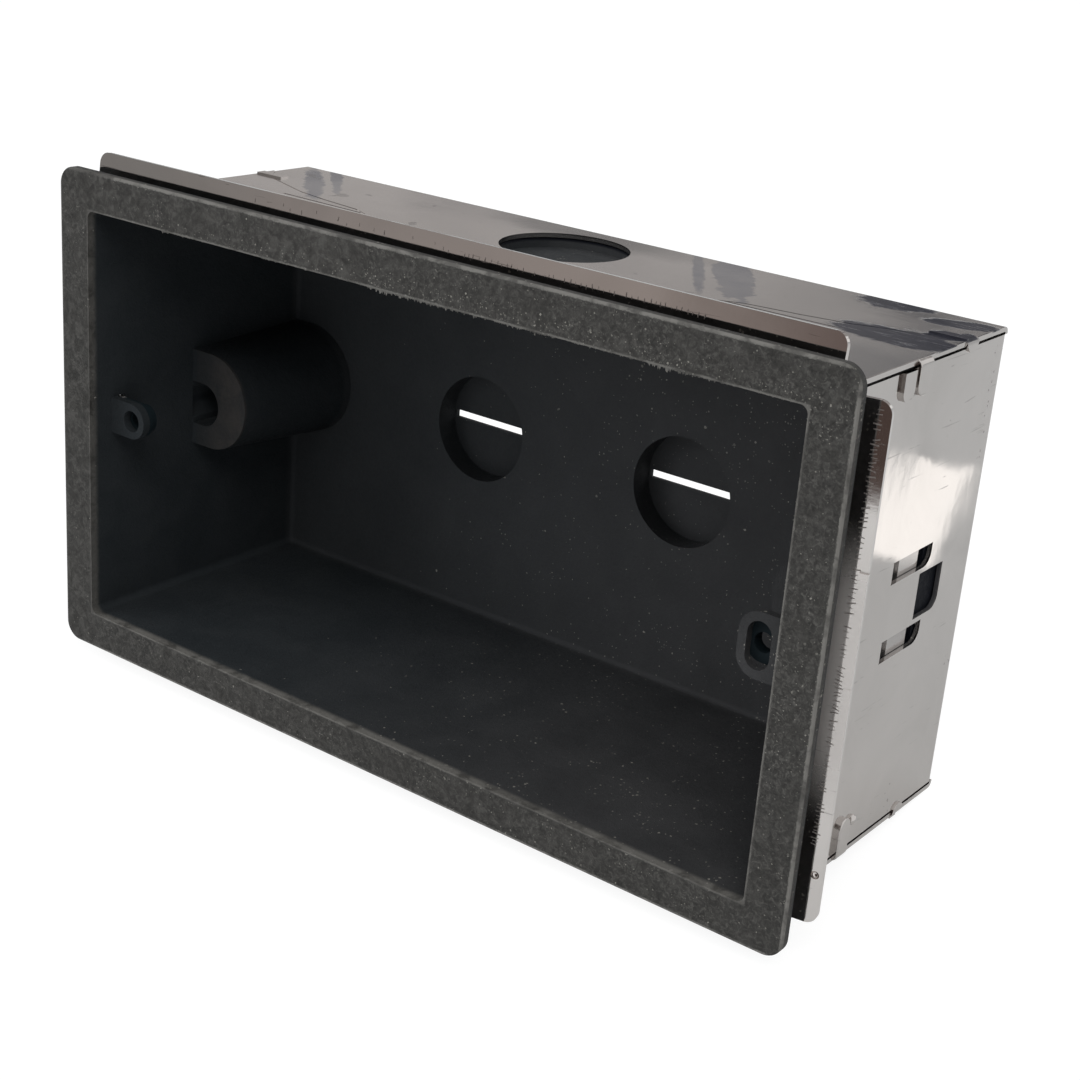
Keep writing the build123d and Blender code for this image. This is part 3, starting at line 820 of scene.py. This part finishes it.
def reflected_room():
    """What the polished steel sees: a grey room behind it, a brown one in front, a lit spot of floor."""
    middle = Vector((0.0, 0.02, 0.0))
    behind = card_mesh("room_behind", Vector((-0.60, 0.95, 0.30)), middle, 2.2, 1.0, 0.0)
    grey = ((0.0, (0.36, 0.34, 0.33)), (0.5, (0.47, 0.45, 0.44)), (1.0, (0.47, 0.45, 0.44)))
    reflection_card("room_behind", behind, grey, 0.12, blotches=(9.0, 0.52, 0.62, (0.10, 0.10, 0.11)))

    in_front = card_mesh("room_in_front", Vector((-0.28, -0.34, 0.11)), Vector((-0.28, 0.0, 0.11)),
                         1.1, 0.42, 0.0)
    brown = ((0.0, (0.25, 0.245, 0.24)), (0.37, (0.27, 0.262, 0.255)), (0.45, (0.34, 0.312, 0.30)),
             (0.60, (0.40, 0.355, 0.335)), (0.66, (0.20, 0.160, 0.148)), (0.74, (0.095, 0.068, 0.060)))
    reflection_card("room_in_front", in_front, brown, 0.04)

    floor_up = (REAR_FOOT - FLANGE_FOOT).cross(Vector((-1, 0, 0))).normalized()
    spot = Vector((0.1125, 0.1290, -0.0241))
    lit_spot = card_mesh("lit_spot", spot, spot + floor_up, 0.0150, 0.050, -14.0)
    bright = (1.75, 1.72, 1.68)
    reflection_card("lit_spot", lit_spot, ((0.0, bright), (1.0, bright)), 0.07, uneven=0.16)


photo_camera()
studio_world()
studio_floor()
soft_lamp("key_lamp", (0.45, -0.60, 0.95), (0.0, 0.0, 0.0), 0.8, 7.5, (1.0, 0.98, 0.95))
soft_lamp("fill_lamp", (-0.85, -0.75, 0.40), (0.02, 0.04, 0.0), 0.8, 5.5, (0.96, 0.98, 1.0))
reflected_room()

steel = bright_sheet_steel()
pressed = pressed_steel()
liner = black_liner()
for node, material in (("shell", steel), ("adjustable_lug", steel), ("liner", liner)):
    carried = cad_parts[node]
    carried.data.materials.clear()
    carried.data.materials.append(material)

# Torn mould edge round the mouth: its ends along X and Z, the way inwards, its depth in mm and its seed
FLASH_FRONT = RIM_FRONT + 0.10 * MM
edges = (
    ("mouth_flash_top", (-0.014, MOUTH_HALF_HEIGHT), (0.057, MOUTH_HALF_HEIGHT), (0, -1), 0.62, 5),
    ("mouth_flash_top_left", (-0.050, MOUTH_HALF_HEIGHT), (-0.038, MOUTH_HALF_HEIGHT), (0, -1), 0.55, 6),
    ("mouth_flash_top_middle", (-0.038, MOUTH_HALF_HEIGHT), (-0.014, MOUTH_HALF_HEIGHT), (0, -1), 0.20, 16),
    ("mouth_flash_top_right", (0.056, MOUTH_HALF_HEIGHT), (0.0645, MOUTH_HALF_HEIGHT), (0, -1), 0.16, 7),
    ("mouth_flash_bottom", (-0.050, -MOUTH_HALF_HEIGHT), (0.062, -MOUTH_HALF_HEIGHT), (0, 1), 0.26, 8),
    ("mouth_flash_right", (MOUTH_HALF_LENGTH, -0.030), (MOUTH_HALF_LENGTH, 0.030), (-1, 0), 0.10, 9),
)
for name, start, end, inwards, deepest, seed in edges:
    flash = ragged_flash(
        name,
        Vector((start[0], FLASH_FRONT, start[1])),
        Vector((end[0], FLASH_FRONT, end[1])),
        Vector((inwards[0], 0, inwards[1])),
        deepest * MM, seed, liner,
    )
    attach(flash, "box")

# Press marks down the right flange and along the top one
marks = press_mark_tree(pressed)
row_chance = random.Random(21)
side_row = side_row_points(row_chance)
top_row = top_row_points(row_chance)
side_marks = press_marks(
    "side_flange_marks", side_row, marks,
    {"Length": 1.05 * MM, "Width": 0.17 * MM, "Height": 0.035 * MM, "Slant": 0.30, "Seed": 5,
     "Lie": (math.pi / 2, 0.0, math.atan(SIDE_LEAN))}, pressed)
top_marks = press_marks(
    "top_flange_marks", top_row, marks,
    {"Length": 0.17 * MM, "Width": 0.62 * MM, "Height": 0.03 * MM, "Slant": 0.18, "Seed": 9,
     "Lie": (math.pi / 2 - math.atan(LONG_LEAN), 0.0, 0.0)}, pressed)
for piece in (side_marks, top_marks):
    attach(piece, "box")

scene = bpy.context.scene
scene.view_settings.view_transform = "Standard"
